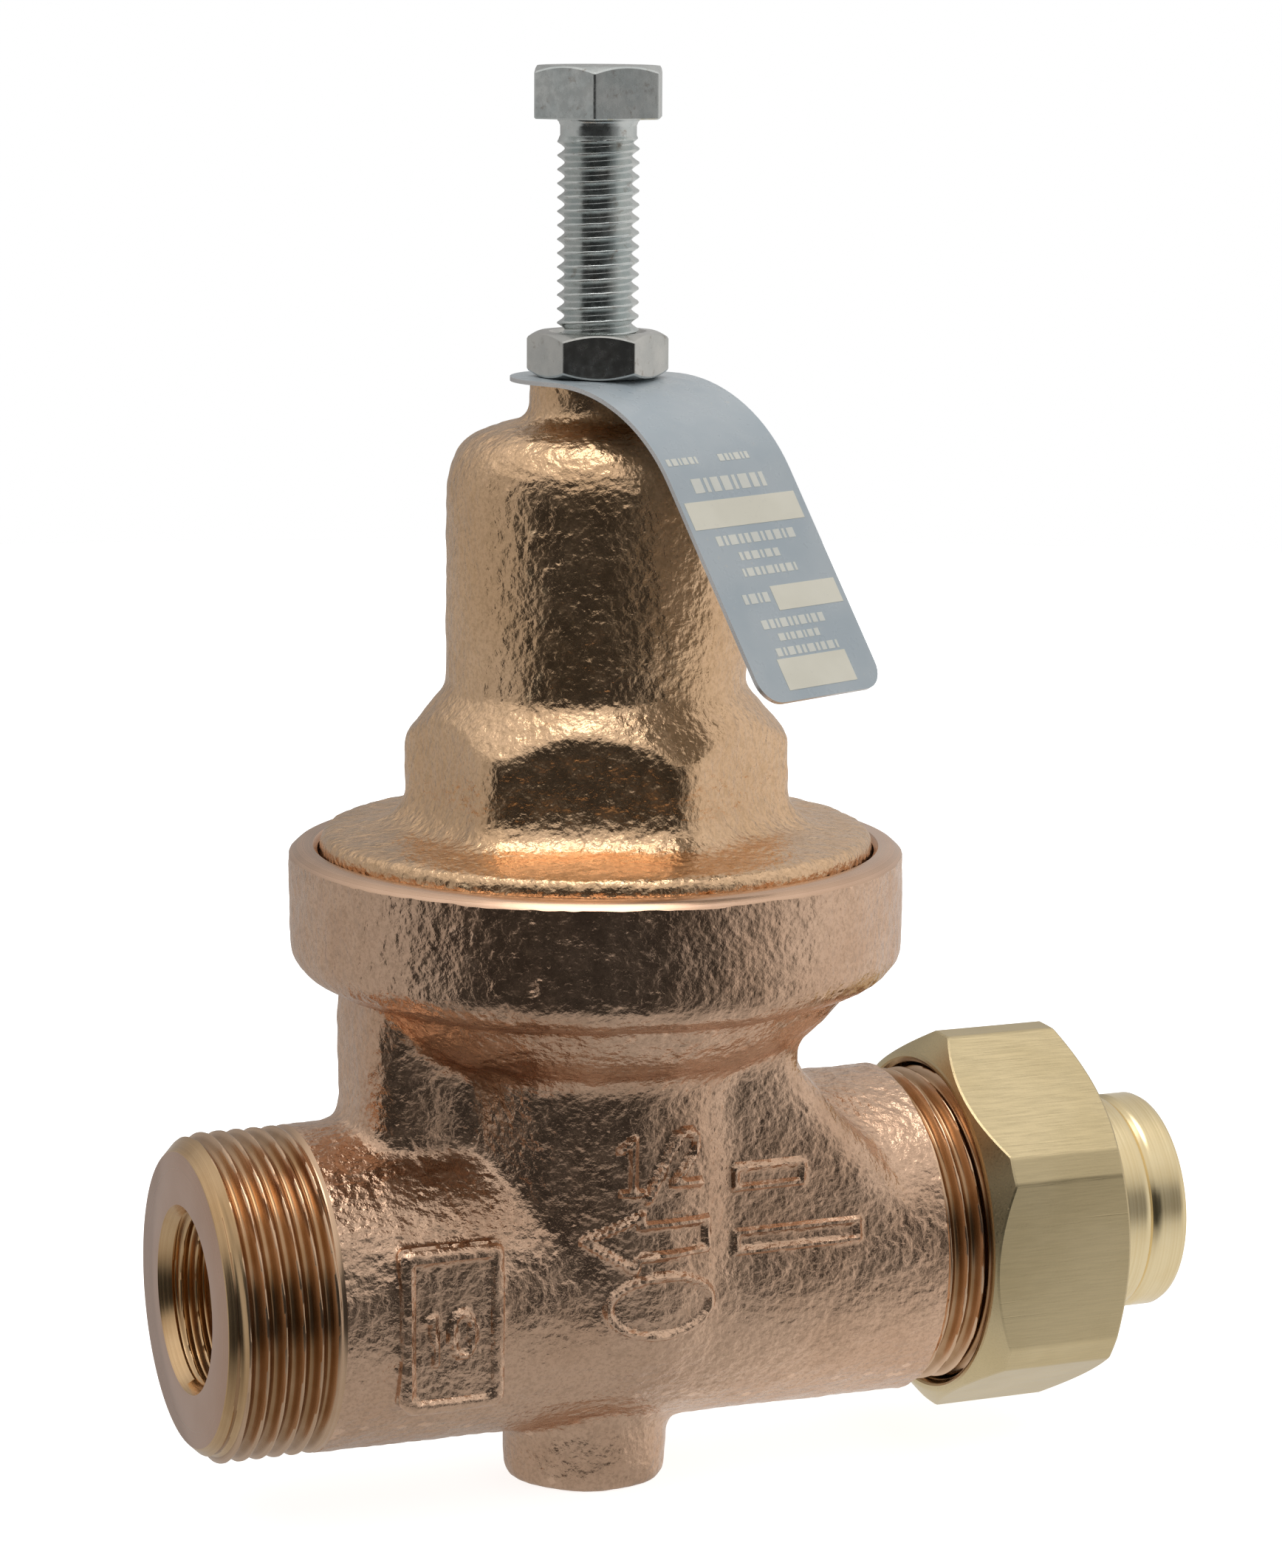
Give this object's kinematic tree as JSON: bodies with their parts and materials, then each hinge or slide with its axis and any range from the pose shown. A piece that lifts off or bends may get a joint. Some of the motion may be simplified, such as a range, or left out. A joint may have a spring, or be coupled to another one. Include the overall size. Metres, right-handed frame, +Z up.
{
  "type": "pressure reducing valve",
  "caption": "Cast bronze water pressure reducing valve with a screwed bonnet, adjusting screw and jam nut, bent rating tag, threaded outlet and union inlet.",
  "frame": {"origin": "where the axis of the pipe run meets the axis of the adjusting screw", "axes": "+Z up the adjusting screw, -X towards the outlet face, +X towards the inlet union, -Y the front with the flow arrow"},
  "size_m": [0.1239, 0.072, 0.1666],
  "materials": {
    "bronze_casting": "as-cast bronze, sand grain, clean and slightly pink",
    "bronze_bonnet": "as-cast bronze, finer sand grain, slightly more golden",
    "zinc_screw": "clear zinc plating, rolled thread",
    "zinc_nut": "clear zinc plating, a little duller and scuffed",
    "tag_paint": "thin aluminium, pale blue print with cream panels",
    "nut_brass": "machined brass bar, satin, fine tool lines",
    "tail_brass": "turned brass, bright satin",
    "inner_brass": "turned brass",
    "plated_steel": "plated pressed steel",
    "stainless_steel": "turned stainless steel",
    "spring_steel": "oiled spring wire",
    "screen_steel": "perforated stainless sheet",
    "black_rubber": "smooth black rubber",
    "diaphragm_rubber": "fabric reinforced rubber",
    "guide_plastic": "acetal, off white"
  },
  "bodies": {
    "valve_body": {"valve_body": "bronze_casting", "bonnet": "bronze_bonnet", "seat_bushing": "stainless_steel", "seat_o_ring": "black_rubber", "guide_bushing": "guide_plastic", "strainer_screen": "screen_steel", "screen_ring": "guide_plastic", "slip_ring": "plated_steel", "diaphragm": "diaphragm_rubber", "range_spring": "spring_steel"},
    "spring_button": {"spring_button": "plated_steel"},
    "adjusting_screw": {"adjusting_screw": "zinc_screw"},
    "lock_nut": {"lock_nut": "zinc_nut"},
    "rating_tag": {"rating_tag": "tag_paint"},
    "stem": {"stem": "stainless_steel", "diaphragm_nut": "inner_brass", "diaphragm_plate": "plated_steel", "diaphragm_washer": "inner_brass", "seat_disc": "black_rubber", "disc_holder": "inner_brass", "piston_o_ring": "black_rubber"},
    "tailpiece": {"tailpiece": "tail_brass", "union_gasket": "black_rubber"},
    "union_nut": {"union_nut": "nut_brass"}
  },
  "joints": [
    {"name": "button_slide", "type": "slide", "parent": "valve_body", "child": "spring_button", "axis": [0, 0, 1], "range_m": [-0.0066, 0.0066], "deforming": ["range_spring"]},
    {"name": "screw_turn", "type": "hinge", "parent": "spring_button", "child": "adjusting_screw", "pos_m": [0, 0, 0.11], "axis": [0, 0, 1], "range_deg": [-1440, 1440]},
    {"name": "lock_nut_turn", "type": "hinge", "parent": "valve_body", "child": "lock_nut", "pos_m": [0, 0, 0.1076], "axis": [0, 0, 1], "range_deg": [0, 360]},
    {"name": "tag_swivel", "type": "hinge", "parent": "valve_body", "child": "rating_tag", "pos_m": [0, 0, 0.1046], "axis": [0, 0, 1], "continuous": true},
    {"name": "stem_lift", "type": "slide", "parent": "valve_body", "child": "stem", "axis": [0, 0, 1], "range_m": [0, 0.002], "deforming": ["diaphragm", "range_spring"]},
    {"name": "tail_slide", "type": "slide", "parent": "valve_body", "child": "tailpiece", "axis": [1, 0, 0], "range_m": [0, 0.00847]},
    {"name": "union_nut_turn", "type": "hinge", "parent": "tailpiece", "child": "union_nut", "pos_m": [0.052, 0, 0], "axis": [1, 0, 0], "range_deg": [0, 1440]}
  ],
  "couplings": [
    {"joint": "button_slide", "follows": "screw_turn", "m_per_rad": 0.00025266},
    {"joint": "tail_slide", "follows": "union_nut_turn", "m_per_rad": 0.00033688}
  ]
}
